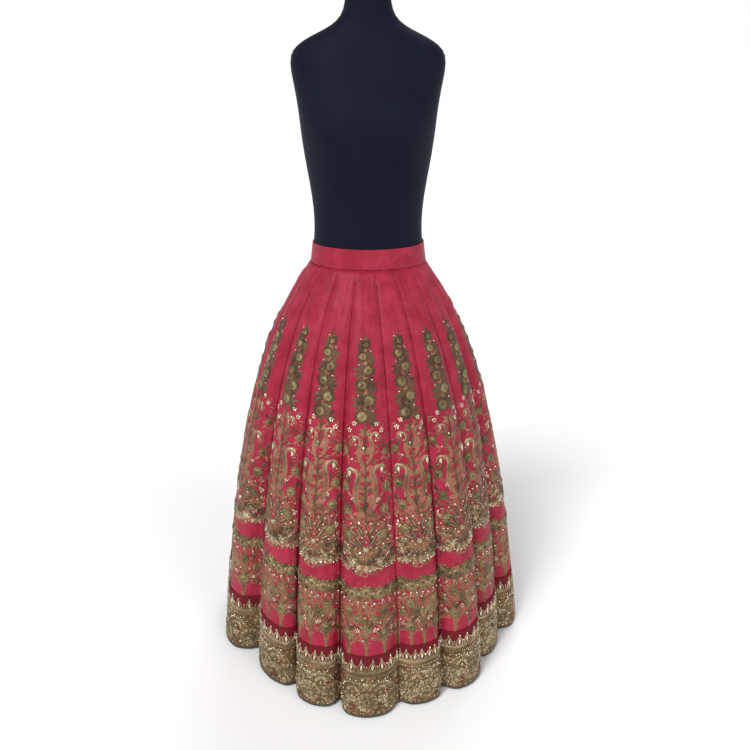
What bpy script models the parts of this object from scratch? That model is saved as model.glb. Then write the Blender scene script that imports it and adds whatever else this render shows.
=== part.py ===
"""A floor-length panelled lehenga skirt on a limbless dress form with its stand.

Metres, +Z up. The origin is on the floor under the middle of the stand's base, and the front
of the skirt faces -Y. An azimuth is in degrees from the front, positive towards +X. The skirt
is cut from sixteen kalis, flared panels that each fall in one deep fold. Their seams lie in the
valleys between the folds. Each kali carries its own length of the border and of the piping.
"""

import math
from collections import namedtuple

import bmesh
import bpy
from mathutils import Vector

# Driving sizes of the skirt
WAIST_Z = 1.055  # top edge of the waistband
BAND_HEIGHT = 0.045
HEM_Z = 0.011  # lower edge of the cloth, above its piping
HEM_RADIUS = 0.385  # mean of the folded hem
WAIST_RADIUS = 0.120  # mean of the cloth's upper edge
BORDER_TOP_Z = 0.172
LAP_AZIMUTH = 98.0  # where the waistband's inner end lies, on the wearer's left side
LAP_DEGREES = 17.0
LAP_RAMP_DEGREES = 9.0
LAP_SPARE_DEGREES = 1.5  # the outer end stands clear this far before it meets the inner end

# Walls and the gaps between pieces
GAP = 0.0003
FORM_EASE = 0.0006  # between the dress form and the waistband
KALI_WALL = 0.0020  # raw silk with its lining
BORDER_WALL = 0.0018  # velvet stiff with metal thread
BAND_WALL = 0.0024  # doubled silk with its interfacing
PIPING_WIDTH = 0.0052
PIPING_HEIGHT = 0.0050
PIPING_SHOULDER = 0.25  # share of its height down to its widest place
PIPING_FLAT = 0.60  # share of its width that is flat above and below

# How finely the cloth is divided
KALI_COLUMNS = 8
ROWS_ABOVE_BORDER = 8
ROW_SPREAD = 1.2  # power by which the rows stand wider apart down the skirt
ROWS_IN_BORDER = 2
BAND_COLUMNS = 54
FORM_COLUMNS = 48

# The bell of the skirt: how much of the flare from waist to hem is reached at each height
Flare = namedtuple("Flare", "z share")
BELL = [
    Flare(1.010, 0.000),
    Flare(0.980, 0.075),
    Flare(0.940, 0.175),
    Flare(0.880, 0.300),
    Flare(0.800, 0.430),
    Flare(0.700, 0.560),
    Flare(0.580, 0.675),
    Flare(0.450, 0.775),
    Flare(0.300, 0.868),
    Flare(0.172, 0.930),
    Flare(0.080, 0.972),
    Flare(0.011, 1.000),
]

# The folds at the hem, one to a kali, in order round the skirt from the front: azimuth and
# radius of the crest, then those of the valley seam that follows it
Fold = namedtuple("Fold", "crest_az crest_r valley_az valley_r")
FOLDS = [
    Fold(-1, 0.405, 12, 0.366),
    Fold(22, 0.387, 30, 0.356),
    Fold(41, 0.396, 52, 0.350),
    Fold(62, 0.380, 71, 0.352),
    Fold(82, 0.414, 94, 0.344),
    Fold(105, 0.402, 117, 0.352),
    Fold(128, 0.408, 139, 0.346),
    Fold(151, 0.398, 163, 0.356),
    Fold(174, 0.406, 185, 0.348),
    Fold(197, 0.400, 209, 0.354),
    Fold(220, 0.410, 231, 0.345),
    Fold(243, 0.399, 255, 0.352),
    Fold(266, 0.406, 278, 0.350),
    Fold(290, 0.405, 303, 0.334),
    Fold(320, 0.376, 329, 0.346),
    Fold(340, 0.391, 349, 0.358),
]
FIRST_WAIST_SEAM = -14.0  # azimuth at the waist of the seam before the first kali
FOLD_NARROWS = 0.80  # how far a fold's crest spreads and its valley closes
FOLD_ROUNDS = 0.40  # how full the crest is on its flanks
FOLD_GROWTH = 0.85  # power by which the folds deepen from waist to hem

# The dress form, from its lower edge to its neck: half width, depth in front of and behind
# the middle, and how square the section is (2 is an ellipse)
Section = namedtuple("Section", "z half_width front back square")
FORM = [
    Section(0.790, 0.150, 0.098, 0.112, 2.2),
    Section(0.800, 0.158, 0.105, 0.118, 2.2),
    Section(0.840, 0.165, 0.110, 0.124, 2.2),
    Section(0.900, 0.161, 0.108, 0.120, 2.1),
    Section(0.960, 0.148, 0.104, 0.108, 2.1),
    Section(1.010, 0.132, 0.100, 0.098, 2.0),
    Section(1.055, 0.126, 0.0975, 0.092, 2.0),
    Section(1.100, 0.122, 0.097, 0.089, 2.0),
    Section(1.160, 0.127, 0.101, 0.092, 2.0),
    Section(1.220, 0.137, 0.108, 0.099, 2.1),
    Section(1.285, 0.146, 0.114, 0.105, 2.2),
    Section(1.340, 0.151, 0.109, 0.108, 2.3),
    Section(1.382, 0.157, 0.094, 0.104, 2.4),
    Section(1.418, 0.165, 0.080, 0.096, 2.5),
    Section(1.448, 0.166, 0.067, 0.084, 2.5),
    Section(1.467, 0.151, 0.058, 0.074, 2.4),
    Section(1.483, 0.123, 0.052, 0.066, 2.2),
    Section(1.496, 0.092, 0.049, 0.058, 2.0),
    Section(1.511, 0.065, 0.047, 0.052, 2.0),
    Section(1.532, 0.050, 0.046, 0.047, 2.0),
    Section(1.560, 0.0465, 0.045, 0.045, 2.0),
    Section(1.600, 0.0455, 0.045, 0.044, 2.0),
    Section(1.606, 0.041, 0.0405, 0.0395, 2.0),
]
BUST_Z = 1.285
BUST_AZIMUTH = 31.0
BUST_RISE = 0.017
BUST_SPREAD_DEGREES = 22.0
BUST_SPREAD_Z = 0.052
BUST_ROWS = (-0.7, 0.0, 0.6)  # extra rows of the form, in spreads from the bust's height

# The stand
BASE_RADIUS = 0.150
BASE_HEIGHT = 0.010
BASE_EDGE = 0.003
COLLAR_RADIUS = 0.028
COLLAR_HEIGHT = 0.045
COLLAR_STRAIGHT = 0.4  # share of its height below the taper
COLLAR_LIP = 0.004
POLE_RADIUS = 0.0125
SOCKET_RADIUS = 0.055
SOCKET_PLATE = 0.006
SOCKET_TUBE_RADIUS = 0.020
SOCKET_DEPTH = 0.070
STAND_SIDES = 32

# Places worked out from the driving sizes
BAND_BOTTOM_Z = WAIST_Z - BAND_HEIGHT
KALI_TOP_Z = BAND_BOTTOM_Z - GAP
KALIS = len(FOLDS)
WAIST_STEP = 360.0 / KALIS


def smooth_value(table, column, z):
    """Read a table's column at a height, on a smooth curve through its rows."""
    rows = sorted(table, key=lambda row: row.z)
    if z <= rows[0].z:
        return getattr(rows[0], column)
    if z >= rows[-1].z:
        return getattr(rows[-1], column)
    at = max(i for i, row in enumerate(rows) if row.z <= z)

    def slope(i):
        low, high = rows[max(i - 1, 0)], rows[min(i + 1, len(rows) - 1)]
        return (getattr(high, column) - getattr(low, column)) / (high.z - low.z)

    low, high = rows[at], rows[at + 1]
    span = high.z - low.z
    u = (z - low.z) / span
    start, end = getattr(low, column), getattr(high, column)
    return (
        start * (2 * u**3 - 3 * u**2 + 1)
        + end * (3 * u**2 - 2 * u**3)
        + slope(at) * span * (u**3 - 2 * u**2 + u)
        + slope(at + 1) * span * (u**3 - u**2)
    )


def blend(start, end, share):
    return start + (end - start) * share


def polar(azimuth, radius, z):
    """A point at an azimuth in degrees from the front."""
    angle = math.radians(azimuth)
    return Vector((radius * math.sin(angle), -radius * math.cos(angle), z))


# ---------------------------------------------------------------- shape of the form and cloth


def form_radius(azimuth, z):
    """The dress form's surface, measured out from its middle."""
    side, ahead = math.sin(math.radians(azimuth)), math.cos(math.radians(azimuth))
    half_width = smooth_value(FORM, "half_width", z)
    depth = smooth_value(FORM, "front" if ahead > 0 else "back", z)
    square = smooth_value(FORM, "square", z)
    radius = (abs(side / half_width) ** square + abs(ahead / depth) ** square) ** (-1 / square)
    rise = math.exp(-(((z - BUST_Z) / BUST_SPREAD_Z) ** 2))
    for cup in (-BUST_AZIMUTH, BUST_AZIMUTH):
        turn = (azimuth - cup + 180) % 360 - 180
        radius += BUST_RISE * rise * math.exp(-((turn / BUST_SPREAD_DEGREES) ** 2))
    return radius


def fold_height(s):
    """How high the cloth stands across a kali: 0 in both valley seams and 1 on the crest."""
    return (1 - math.cos(2 * math.pi * s)) / 2


def fold_place(s):
    """Where a point across the cloth lies between its two valleys once it is folded."""
    narrow = FOLD_NARROWS * math.sin(2 * math.pi * s) / (2 * math.pi)
    full = FOLD_ROUNDS * math.sin(4 * math.pi * s) / (4 * math.pi)
    return s - narrow + full


def seams_of(kali, flare):
    """Azimuths of the two seams of a kali at the height where the skirt has this flare."""
    hem_before = FOLDS[kali - 1].valley_az - (360 if kali == 0 else 0)
    waist_before = FIRST_WAIST_SEAM + kali * WAIST_STEP
    before = blend(waist_before, hem_before, flare)
    after = blend(waist_before + WAIST_STEP, FOLDS[kali].valley_az, flare)
    return before, after


def cloth_point(kali, s, z):
    """A point on a kali's outer face: s runs from 0 to 1 between its seams."""
    flare = smooth_value(BELL, "share", z)
    down = (KALI_TOP_Z - z) / (KALI_TOP_Z - HEM_Z)
    depth = max(down, 0.0) ** FOLD_GROWTH
    before, after = seams_of(kali, flare)
    fold = FOLDS[kali]
    hem_before = FOLDS[kali - 1].valley_az - (360 if kali == 0 else 0)
    lean = (fold.crest_az - (hem_before + fold.valley_az) / 2) * flare
    azimuth = blend(before, after, fold_place(s)) + lean * fold_height(s)
    waist = form_radius(azimuth, BAND_BOTTOM_Z) + FORM_EASE + KALI_WALL
    valley = blend(FOLDS[kali - 1].valley_r, fold.valley_r, s * s * (3 - 2 * s)) - HEM_RADIUS
    crest = fold.crest_r - HEM_RADIUS
    fall = blend(valley, crest, fold_height(s))
    return polar(azimuth, blend(waist, HEM_RADIUS, flare) + depth * fall, z)


def cloth_normal(kali, s, z):
    """The direction straight out of the cloth."""
    step_s, step_z = 0.002, 0.002
    low = max(z - step_z, HEM_Z - step_z)
    high = min(z + step_z, KALI_TOP_Z)
    along = cloth_point(kali, s + step_s, z) - cloth_point(kali, s - step_s, z)
    up = cloth_point(kali, s, high) - cloth_point(kali, s, low)
    return along.cross(up).normalized()


def seam_share(kali, z):
    """The share of a kali's width that leaves half a gap to the seam at this height."""
    flare = smooth_value(BELL, "share", z)
    before, after = seams_of(kali, flare)
    width = math.radians(after - before) * blend(WAIST_RADIUS, FOLDS[kali].valley_r, flare)
    return GAP / 2 / (width * (1 - FOLD_NARROWS + FOLD_ROUNDS))


def kali_heights():
    """The heights of a kali's rows: wider apart down the skirt, and even across the border."""
    upper = [
        blend(KALI_TOP_Z, BORDER_TOP_Z, (i / ROWS_ABOVE_BORDER) ** ROW_SPREAD)
        for i in range(ROWS_ABOVE_BORDER + 1)
    ]
    return upper[:-1] + border_heights()


def border_heights():
    return [blend(BORDER_TOP_Z, HEM_Z, i / ROWS_IN_BORDER) for i in range(ROWS_IN_BORDER + 1)]


def cloth_grid(kali, heights, out):
    """Rows of points across a kali, moved out from its outer face by a distance."""
    grid = []
    for z in heights:
        trim = seam_share(kali, z)
        row = []
        for column in range(KALI_COLUMNS + 1):
            s = min(max(column / KALI_COLUMNS, trim), 1 - trim)
            point = cloth_point(kali, s, z) + cloth_normal(kali, s, z) * out
            row.append(Vector((point.x, point.y, z)))
        grid.append(row)
    return grid


# ------------------------------------------------------------------------------ making solids


def finish(name, bm, finish_of, smooth_degrees=40):
    """Turn a bmesh into a named object with its material."""
    bmesh.ops.recalc_face_normals(bm, faces=bm.faces)
    mesh = bpy.data.meshes.new(name)
    bm.to_mesh(mesh)
    bm.free()
    mesh.shade_smooth()
    mesh.set_sharp_from_angle(angle=math.radians(smooth_degrees))
    mesh.materials.append(finish_of)
    thing = bpy.data.objects.new(name, mesh)
    bpy.context.collection.objects.link(thing)
    return thing


def wall(name, outer, inner, finish_of):
    """A closed wall between two grids of points, both split along the same diagonals."""
    bm = bmesh.new()
    out = [[bm.verts.new(point) for point in row] for row in outer]
    back = [[bm.verts.new(point) for point in row] for row in inner]
    rows, columns = len(outer) - 1, len(outer[0]) - 1
    for i in range(rows):
        for j in range(columns):
            for grid in (out, back):
                a, b = grid[i][j], grid[i][j + 1]
                c, d = grid[i + 1][j + 1], grid[i + 1][j]
                bm.faces.new((a, b, c))
                bm.faces.new((a, c, d))
    for i in (0, rows):
        for j in range(columns):
            bm.faces.new((out[i][j], out[i][j + 1], back[i][j + 1], back[i][j]))
    for j in (0, columns):
        for i in range(rows):
            bm.faces.new((out[i][j], out[i + 1][j], back[i + 1][j], back[i][j]))
    return finish(name, bm, finish_of)


def lofted(name, rings, finish_of, closed=False):
    """A solid skinned over rings of points, capped at its ends or joined end to end."""
    bm = bmesh.new()
    loops = [[bm.verts.new(point) for point in ring] for ring in rings]
    sides = len(rings[0])
    pairs = list(zip(loops, loops[1:]))
    if closed:
        pairs.append((loops[-1], loops[0]))
    for low, high in pairs:
        for j in range(sides):
            k = (j + 1) % sides
            bm.faces.new((low[j], low[k], high[k], high[j]))
    if not closed:
        bm.faces.new(loops[0])
        bm.faces.new(loops[-1])
    return finish(name, bm, finish_of)


def turned(name, profile, finish_of, hollow=False):
    """A round solid from a profile of (radius, z) points; a hollow one closes on itself."""
    rings = [
        [polar(360 * j / STAND_SIDES, radius, z) for j in range(STAND_SIDES)]
        for radius, z in profile
    ]
    return lofted(name, rings, finish_of, closed=hollow)


def material(name, colour, roughness, metallic=0.0):
    """A Principled BSDF finish; the colour is linear."""
    made = bpy.data.materials.new(name)
    made.use_nodes = True
    shader = made.node_tree.nodes["Principled BSDF"]
    shader.inputs["Base Color"].default_value = (*colour, 1.0)
    shader.inputs["Roughness"].default_value = roughness
    shader.inputs["Metallic"].default_value = metallic
    return made


# ------------------------------------------------------------------------------------- pieces


def make_kalis(silk):
    heights = kali_heights()
    for kali in range(KALIS):
        outer = cloth_grid(kali, heights, 0.0)
        inner = cloth_grid(kali, heights, -KALI_WALL)
        wall(f"kali_{kali + 1:02d}", outer, inner, silk)


def make_borders(velvet):
    heights = border_heights()
    for kali in range(KALIS):
        inner = cloth_grid(kali, heights, GAP)
        outer = cloth_grid(kali, heights, GAP + BORDER_WALL)
        wall(f"border_{kali + 1:02d}", outer, inner, velvet)


def make_pipings(piping_silk):
    """A rounded cord of bias silk under the lower edges of each kali and its border."""
    middle = (GAP + BORDER_WALL - KALI_WALL) / 2
    top = HEM_Z - GAP
    half, flat = PIPING_WIDTH / 2, PIPING_WIDTH / 2 * PIPING_FLAT
    shoulder, bottom = top - PIPING_HEIGHT * PIPING_SHOULDER, top - PIPING_HEIGHT
    section = [
        (-half, shoulder),
        (-flat, top),
        (flat, top),
        (half, shoulder),
        (flat, bottom),
        (-flat, bottom),
    ]
    for kali in range(KALIS):
        trim = seam_share(kali, HEM_Z)
        rings = []
        for column in range(KALI_COLUMNS + 1):
            s = min(max(column / KALI_COLUMNS, trim), 1 - trim)
            base = cloth_point(kali, s, HEM_Z)
            out = cloth_normal(kali, s, HEM_Z)
            out.z = 0
            out.normalize()
            ring = []
            for offset, z in section:
                point = base + out * (middle + offset)
                ring.append(Vector((point.x, point.y, z)))
            rings.append(ring)
        lofted(f"piping_{kali + 1:02d}", rings, piping_silk)


def make_waistband(silk):
    """One strip round the form, whose outer end laps over its inner end."""
    heights = [WAIST_Z, blend(WAIST_Z, BAND_BOTTOM_Z, 0.5), BAND_BOTTOM_Z]
    turn = 360.0 + LAP_DEGREES
    ramp_start = 360.0 - LAP_RAMP_DEGREES - LAP_SPARE_DEGREES
    outer, inner = [], []
    for z in heights:
        outer_row, inner_row = [], []
        for column in range(BAND_COLUMNS + 1):
            gone = turn * column / BAND_COLUMNS
            climb = min(max((gone - ramp_start) / LAP_RAMP_DEGREES, 0.0), 1.0)
            azimuth = LAP_AZIMUTH + gone
            base = form_radius(azimuth, z) + FORM_EASE + climb * (BAND_WALL + GAP * 2)
            inner_row.append(polar(azimuth, base, z))
            outer_row.append(polar(azimuth, base + BAND_WALL, z))
        outer.append(outer_row)
        inner.append(inner_row)
    wall("waistband", outer, inner, silk)


def make_form(jersey):
    """The torso: a whole closed solid from the lower edge to the top of the neck."""
    heights = {section.z for section in FORM}
    heights |= {WAIST_Z, blend(WAIST_Z, BAND_BOTTOM_Z, 0.5), BAND_BOTTOM_Z}
    heights |= {BUST_Z + BUST_SPREAD_Z * row for row in BUST_ROWS}
    rings = []
    for z in sorted(heights):
        ring = []
        for j in range(FORM_COLUMNS):
            azimuth = 360 * j / FORM_COLUMNS
            ring.append(polar(azimuth, form_radius(azimuth, z), z))
        rings.append(ring)
    lofted("form_torso", rings, jersey)


def make_stand(steel, black_steel):
    """A round base, the collar that holds the pole, the pole and the socket under the form."""
    turned(
        "base_plate",
        [
            (BASE_RADIUS - BASE_EDGE, 0.0),
            (BASE_RADIUS, BASE_EDGE),
            (BASE_RADIUS, BASE_HEIGHT - BASE_EDGE),
            (BASE_RADIUS - BASE_EDGE, BASE_HEIGHT),
        ],
        black_steel,
    )
    seat = BASE_HEIGHT + GAP
    bore = POLE_RADIUS + GAP
    turned(
        "base_collar",
        [
            (bore, seat),
            (COLLAR_RADIUS, seat),
            (COLLAR_RADIUS, seat + COLLAR_HEIGHT * COLLAR_STRAIGHT),
            (bore + COLLAR_LIP, seat + COLLAR_HEIGHT),
            (bore, seat + COLLAR_HEIGHT),
        ],
        black_steel,
        hollow=True,
    )
    form_bottom = min(section.z for section in FORM)
    plate_top = form_bottom - GAP
    plate_low = plate_top - SOCKET_PLATE
    tube_low = plate_low - SOCKET_DEPTH
    pole_top = plate_low - GAP
    turned(
        "form_socket",
        [
            (bore, tube_low),
            (SOCKET_TUBE_RADIUS, tube_low),
            (SOCKET_TUBE_RADIUS, plate_low),
            (SOCKET_RADIUS, plate_low),
            (SOCKET_RADIUS, plate_top),
            (bore, plate_top),
        ],
        black_steel,
        hollow=True,
    )
    turned("pole", [(POLE_RADIUS, seat), (POLE_RADIUS, pole_top)], steel)


def main():
    for thing in list(bpy.data.objects):
        bpy.data.objects.remove(thing, do_unlink=True)
    silk = material("crimson raw silk", (0.42, 0.035, 0.065), 0.55)
    velvet = material("gold worked velvet", (0.20, 0.12, 0.05), 0.45, 0.5)
    piping_silk = material("bottle green silk", (0.035, 0.055, 0.055), 0.6)
    jersey = material("navy jersey", (0.010, 0.013, 0.022), 0.7)
    steel = material("bright steel tube", (0.60, 0.60, 0.60), 0.25, 1.0)
    black_steel = material("black powder coat", (0.012, 0.012, 0.013), 0.5, 0.2)
    make_waistband(silk)
    make_kalis(silk)
    make_borders(velvet)
    make_pipings(piping_silk)
    make_form(jersey)
    make_stand(steel, black_steel)


main()
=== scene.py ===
"""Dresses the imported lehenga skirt: raw silk kalis, their worked border, the zardozi on them and
the dress form that wears it. Metres, except in the embroidery, which is drawn in millimetres."""

import math
from collections import namedtuple
from functools import partial

import bpy
import numpy as np
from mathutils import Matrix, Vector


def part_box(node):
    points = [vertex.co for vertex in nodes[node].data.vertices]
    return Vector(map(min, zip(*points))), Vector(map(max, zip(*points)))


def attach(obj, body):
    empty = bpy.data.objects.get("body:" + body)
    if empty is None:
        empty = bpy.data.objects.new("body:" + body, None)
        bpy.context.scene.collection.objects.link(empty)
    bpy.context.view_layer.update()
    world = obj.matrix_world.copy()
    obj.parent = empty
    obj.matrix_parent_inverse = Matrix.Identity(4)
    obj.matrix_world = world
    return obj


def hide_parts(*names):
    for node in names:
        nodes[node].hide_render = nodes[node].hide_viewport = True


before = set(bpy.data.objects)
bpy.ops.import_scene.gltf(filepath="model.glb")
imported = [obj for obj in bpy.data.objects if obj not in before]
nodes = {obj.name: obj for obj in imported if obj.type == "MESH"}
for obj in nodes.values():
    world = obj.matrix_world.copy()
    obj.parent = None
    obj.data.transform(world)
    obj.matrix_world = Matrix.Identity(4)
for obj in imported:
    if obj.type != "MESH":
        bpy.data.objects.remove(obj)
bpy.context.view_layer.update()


# ------------------------ the stand
# A bought display stand holds the form up inside the skirt: a turned steel disc with a collar,
# a chromed tube and a flanged socket screwed to the form's base board. Its pieces are lathe
# work, already round in the frame, so they only get their finishes here.
def linear(hex_code):
    """An sRGB hex value as the linear RGBA that a shader takes."""
    parts = [int(hex_code[i : i + 2], 16) / 255 for i in (1, 3, 5)]
    return (*(c / 12.92 if c <= 0.04045 else ((c + 0.055) / 1.055) ** 2.4 for c in parts), 1.0)


def feed(node, *values, **named):
    """Sets a node's inputs, in order or by name, and its settings. A colour is given as hex; an
    output, or another node for its first output in use, is linked."""
    by_name = []
    for name, value in named.items():
        socket = node.inputs.get(name.replace("_", " "))
        if socket is None:
            setattr(node, name, value)
        else:
            by_name.append((socket, value))
    in_use = [socket for socket in node.inputs if socket.enabled]
    for socket, value in [*zip(in_use, values), *by_name]:
        if isinstance(value, bpy.types.Node):
            value = next(output for output in value.outputs if output.enabled)
        if isinstance(value, bpy.types.NodeSocket):
            node.id_data.links.new(value, socket)
        else:
            socket.default_value = linear(value) if isinstance(value, str) else value
    return node


def add_node(finish, kind, *values, **named):
    """Adds a shader node to a finish, with its values, settings and links."""
    return feed(finish.node_tree.nodes.new(f"ShaderNode{kind}"), *values, **named)


def new_finish(name, **look):
    """A material, its Principled shader with its even values set, and add_node for it."""
    finish = bpy.data.materials.new(name)
    finish.use_nodes = True
    shader = feed(finish.node_tree.nodes["Principled BSDF"], **look)
    return finish, shader, partial(add_node, finish)


def grains(mm):
    """The scale that makes a noise's or cell pattern's grains a size in millimetres."""
    return 1000 / mm


def bands(mm):
    """The scale that sets a Wave texture's bands a distance apart, and diagonal ones 1.4 times."""
    return math.pi / 10 * 1000 / mm


# Polyester powder coat over steel: a fine orange-peel of about 1.5 mm and a satin gloss.
powder_coat, shader, add = new_finish("powder_coated_steel", Roughness=0.42, IOR=1.5)
place = add("TexCoord").outputs["Object"]
peel = add("TexNoise", Scale=grains(1.5), Vector=place)
tint = add("Mix", peel, "#17181A", "#232427", data_type="RGBA")
relief = add("Bump", Strength=0.25, Distance=0.0002, Height=peel)
feed(shader, Base_Color=tint, Normal=relief)

# Bright chromium plate on drawn tube: a mirror with faint rings left by polishing.
chrome, shader, add = new_finish("chromed_tube", Metallic=1.0, Base_Color="#C9CBCD")
place = add("TexCoord").outputs["Object"]
rings = add("Mapping", Scale=(grains(250), grains(250), grains(1.1)), Vector=place)
polish = add("TexNoise", Scale=1.0, Vector=rings)
gloss = add("MapRange", To_Min=0.10, To_Max=0.24, Value=polish)
feed(shader, Roughness=gloss)

for name in ("base_plate", "base_collar", "form_socket", "pole"):
    nodes[name].data.materials.clear()
    nodes[name].data.materials.append(chrome if name == "pole" else powder_coat)


# ------------------------ the dress form
# A limbless display torso, moulded in foam and pulled over with a navy jersey cover that is
# stretched smooth, so only its fine knit shows.
FORM_SOFT_EDGE = 0.004
SHARP = math.radians(40)  # edges that turn by more than this get the soft edge
JOINED = 0.00002  # corners nearer than this are one
QUAD_BEND = math.radians(50)  # how much two triangles of one quad may bend


def select_only(piece):
    bpy.ops.object.select_all(action="DESELECT")
    piece.select_set(True)
    bpy.context.view_layer.objects.active = piece


def in_scene(name, data):
    thing = bpy.data.objects.new(name, data)
    bpy.context.scene.collection.objects.link(thing)
    return thing


def modelled_from(node, name):
    """A new piece that starts as a CAD node's faces, merged into quads."""
    piece = in_scene(name, nodes[node].data.copy())
    select_only(piece)
    bpy.ops.object.mode_set(mode="EDIT")
    bpy.ops.mesh.select_all(action="SELECT")
    bpy.ops.mesh.remove_doubles(threshold=JOINED)
    bpy.ops.mesh.tris_convert_to_quads(face_threshold=QUAD_BEND, shape_threshold=QUAD_BEND)
    bpy.ops.mesh.normals_make_consistent(inside=False)
    bpy.ops.object.mode_set(mode="OBJECT")
    piece.data.materials.clear()
    return piece


def modify(piece, kind, **settings):
    """Applies a modifier with its settings."""
    modifier = piece.modifiers.new(kind, kind)
    for setting, value in settings.items():
        setattr(modifier, setting, value)
    select_only(piece)
    bpy.ops.object.modifier_apply(modifier=kind)


def finished(piece, slot, *finishes, node=None):
    for finish in finishes:
        piece.data.materials.append(finish)
    piece.data.shade_smooth()
    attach(piece, "root")
    if node:
        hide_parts(node)


# Polyester jersey: a matt knit of about 1 mm wales, with a soft grazing sheen from its fibres.
jersey, shader, add = new_finish(
    "navy_jersey", Roughness=0.62, IOR=1.45, Specular_IOR_Level=0.1,
    Sheen_Weight=0.03, Sheen_Roughness=0.4, Sheen_Tint="#5C6E8C",
)
place = add("TexCoord").outputs["Object"]
wales = add("TexWave", bands_direction="X", Scale=bands(1.0), Distortion=0.6, Vector=place).outputs["Fac"]
mottle = add("TexNoise", Scale=grains(70), Detail=4.0, Vector=place)
tint = add("Mix", mottle, "#090E1A", "#101726", data_type="RGBA")
knit = add("Bump", Strength=0.12, Distance=0.0003, Height=wales)
feed(shader, Base_Color=tint, Normal=knit)

form = modelled_from("form_torso", "dress_form")
modify(form, "BEVEL", width=FORM_SOFT_EDGE, segments=3, limit_method="ANGLE", angle_limit=SHARP)
modify(form, "SUBSURF", levels=1)
finished(form, "form_cover", jersey, node="form_torso")


# ------------------------ the waistband
# A straight strip of the skirt's own raw silk, doubled over interfacing, turned in along both
# edges and lapped on the wearer's left side, where hooks hold it closed out of sight.
BAND_SOFT_EDGE = 0.0007

# Raw (dupion) silk: a crisp plain weave whose thick weft slubs, 15 to 60 mm long and about
# 1 mm high, catch the light, with a pink sheen where it turns away. Slubs and warp are drawn
# at 1.6 mm, four times the real pitch, so that they show.
silk, shader, add = new_finish(
    "crimson_raw_silk", Roughness=0.5, IOR=1.5, Specular_IOR_Level=0.16,
    Sheen_Weight=0.08, Sheen_Roughness=0.35, Sheen_Tint="#E0506C",
)
cut = add("UVMap", uv_map="cut")
slub_run = add("Mapping", Scale=(grains(36), grains(1.6), 1.0), Vector=cut)
slubs = add("TexNoise", Scale=1.0, Detail=3.0, Roughness=0.65, Vector=slub_run)
warp_run = add("Mapping", Scale=(grains(1.6), grains(80), 1.0), Vector=cut)
warp = add("TexNoise", Scale=1.0, Vector=warp_run)
streak_run = add("Mapping", Scale=(grains(14), grains(160), 1.0), Vector=cut)
patches = add("TexNoise", Scale=1.0, Detail=4.0, Vector=streak_run)
weave = add("Math", warp, 0.45, slubs, operation="MULTIPLY_ADD")
dye = add("Mix", patches, "#6E0D1B", "#9C1F35", data_type="RGBA")
# Painted highlight: where the weave's slubs and warp run high, the dye is mixed toward a paler pink.
thread_light = add("MapRange", From_Min=0.55, To_Max=0.35, Value=weave)
lit_dye = add("Mix", thread_light, dye, "#B03850", data_type="RGBA")

# Handling has crushed it: soft dents some 40 mm across, whose raised sides shine with a painted sheen.
place = add("TexCoord").outputs["Object"]
crush = add("TexNoise", Scale=grains(40), Detail=4.0, Roughness=0.6, Vector=place)
# Painted sheen: a paler pink mixed into the dye where the crush noise runs high, over the dents' bump.
painted_sheen = add("MapRange", From_Min=0.42, From_Max=0.64, To_Max=0.55, Value=crush)
dye_with_painted_sheen = add("Mix", painted_sheen, lit_dye, "#AC3049", data_type="RGBA")

# The kalis' lower part is worked all over in gilt thread, a net of 12 mm meshes, rose in places
# and khaki in others: between the border and the garland, except for a row of bare arches, and
# behind the middle fan. It is laid by a map named work, on which every kali is 180 mm wide; the
# waistband has no such map, and there the net's heights are never reached.
NET_LOW, NET_HIGH = 0.150, 0.338
ARCH_PITCH, ARCH_RADIUS, ARCH_SPRING = 0.045, 0.0165, 0.184
ARCH_RAGGED = (0.009, 0.024, 0)  # how far noise moves the arches' edges in all, across and up
FAN_AT, FAN_WIDE, FAN_TALL = 0.436, 0.082, 0.072
NET_OPENING = 0.9  # how strongly noise opens the net in places and closes it in others

work_map = add("UVMap", uv_map="work")
ragged = add("TexNoise", Scale=grains(26), Vector=cut)
uneven = add("VectorMath", ragged.outputs["Color"], ARCH_RAGGED, work_map, operation="MULTIPLY_ADD")
up = add("SeparateXYZ", Vector=uneven)
from_spring = add(
    "VectorMath", uneven,
    (ARCH_PITCH / 2 + ARCH_RAGGED[0] / 2, ARCH_SPRING + ARCH_RAGGED[1] / 2, 0), operation="SUBTRACT",
)
one_arch = add(
    "VectorMath", from_spring, (ARCH_PITCH / 2, 1, 1), (-ARCH_PITCH / 2, -1, -1), operation="WRAP"
)
stilted = add("VectorMath", one_arch, (-1, 0, 0), operation="MAXIMUM")
arch_reach = add("VectorMath", stilted, operation="LENGTH")
past_arch = add("Math", arch_reach, ARCH_RADIUS, operation="GREATER_THAN")
in_band = add(
    "Math", up.outputs["Y"], (NET_LOW + NET_HIGH) / 2, (NET_HIGH - NET_LOW) / 2, operation="COMPARE"
)
low_zone = add("Math", in_band, past_arch, operation="MULTIPLY")
from_fan = add(
    "VectorMath", work_map, (1 / FAN_WIDE, 1 / FAN_TALL, 0), (0, -FAN_AT / FAN_TALL, 0),
    operation="MULTIPLY_ADD",
)
fan_reach = add("VectorMath", from_fan, operation="LENGTH")
in_fan = add("Math", fan_reach, 1.0, operation="LESS_THAN")
net_zone = add("Math", low_zone, in_fan, operation="MAXIMUM")
meshes = add("TexVoronoi", feature="DISTANCE_TO_EDGE", Scale=grains(12), Vector=cut)
opened = add("Math", ragged, NET_OPENING, meshes, operation="MULTIPLY_ADD")
threaded = add("MapRange", From_Min=NET_OPENING / 2 + 0.17, From_Max=NET_OPENING / 2 + 0.09, Value=opened)
net = add("Math", net_zone, threaded, operation="MULTIPLY")
net_stitches = add(
    "TexWave", bands_direction="DIAGONAL", Scale=bands(1.6), Distortion=14.0, Detail=1.0, Vector=cut
).outputs["Fac"]
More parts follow.
